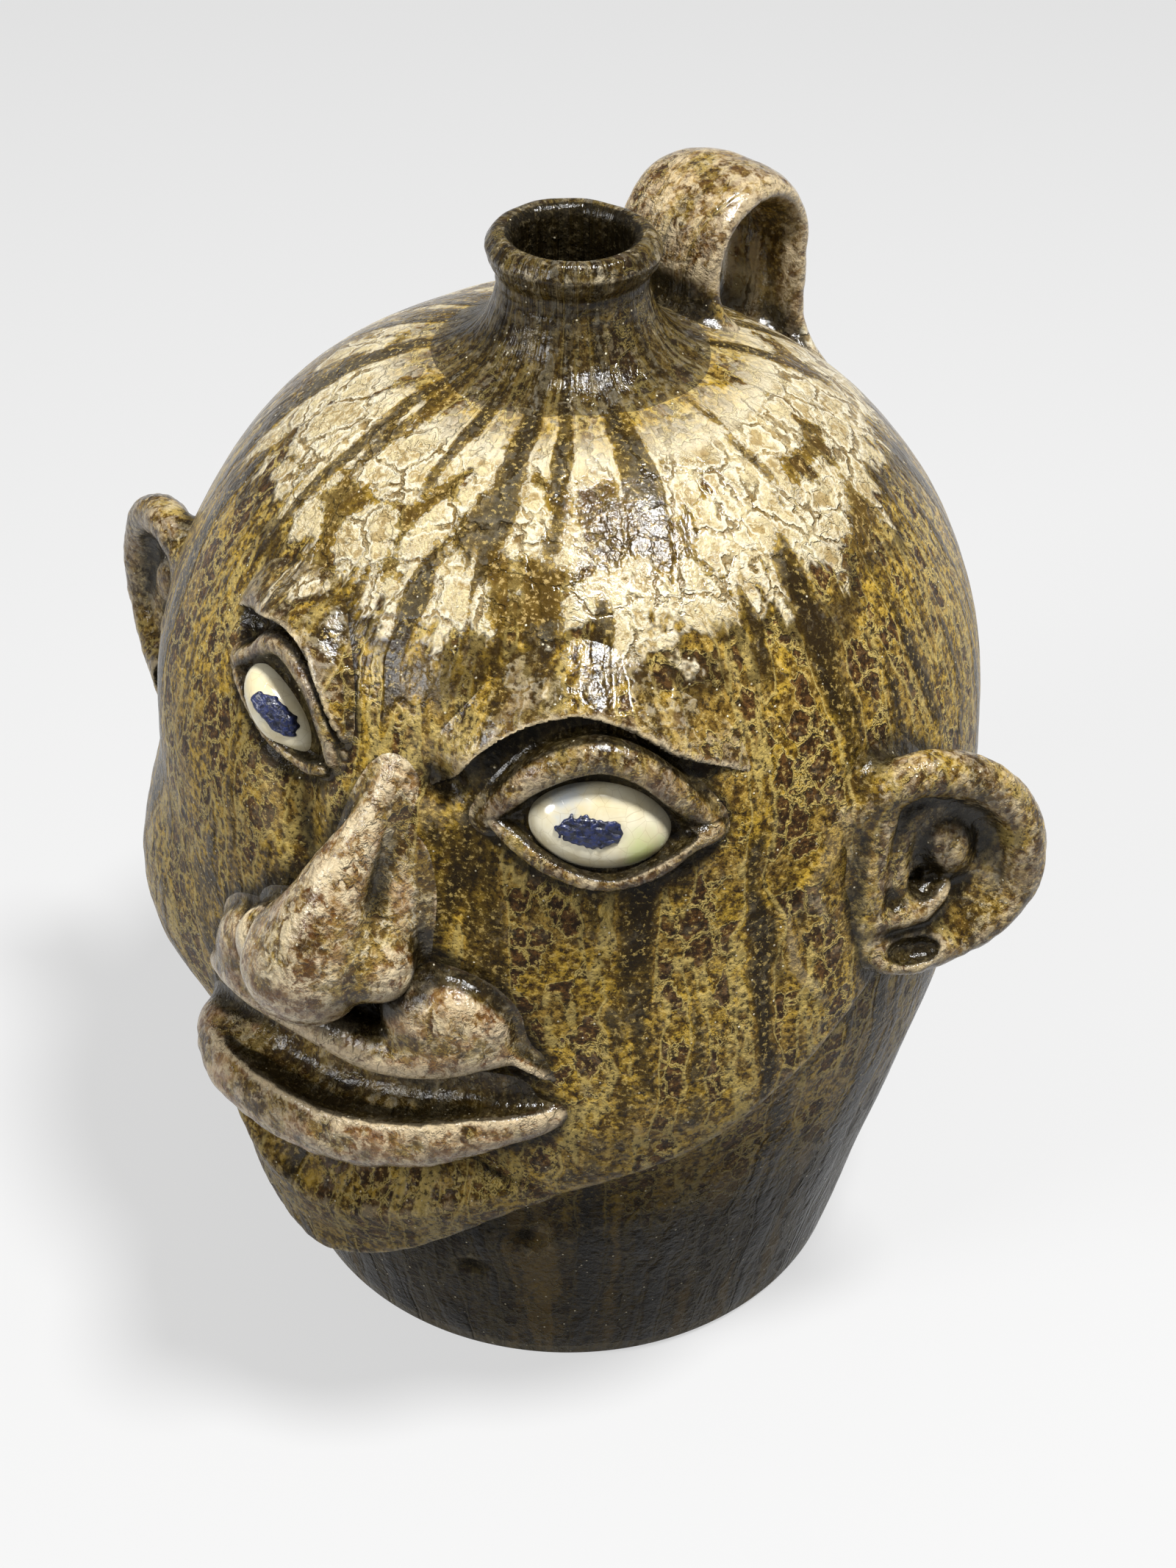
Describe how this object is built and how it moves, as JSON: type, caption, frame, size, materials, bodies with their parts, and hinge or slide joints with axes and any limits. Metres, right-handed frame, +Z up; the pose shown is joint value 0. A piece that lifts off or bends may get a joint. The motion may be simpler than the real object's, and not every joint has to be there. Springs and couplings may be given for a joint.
{
  "type": "face jug",
  "caption": "Stoneware jug with a narrow corked neck, a strap handle behind it and a face of applied clay features on the front of the body.",
  "frame": {"origin": "middle of the flat foot, on the surface the jug stands on", "axes": "+Z up along the neck's bore, -Y the way the face looks, +X towards the face's own left ear"},
  "size_m": [0.2349, 0.2143, 0.269],
  "materials": {
    "ash_glaze": "glossy, mottled olive and tan ash glaze",
    "eye_glaze": "glossy cream glaze",
    "pupil_glaze": "glossy cobalt glaze"
  },
  "bodies": {
    "root": {"jug_body": "ash_glaze", "neck_spout": "ash_glaze", "strap_handle": "ash_glaze", "left_ear": "ash_glaze", "right_ear": "ash_glaze", "nose": "ash_glaze", "upper_lip": "ash_glaze", "lower_lip": "ash_glaze", "chin": "ash_glaze", "left_cheek": "ash_glaze", "right_cheek": "ash_glaze", "left_brow": "ash_glaze", "right_brow": "ash_glaze", "left_eyeball": "eye_glaze", "right_eyeball": "eye_glaze", "left_pupil": "pupil_glaze", "right_pupil": "pupil_glaze", "left_upper_eyelid": "ash_glaze", "right_upper_eyelid": "ash_glaze", "left_lower_eyelid": "ash_glaze", "right_lower_eyelid": "ash_glaze"}
  },
  "joints": []
}
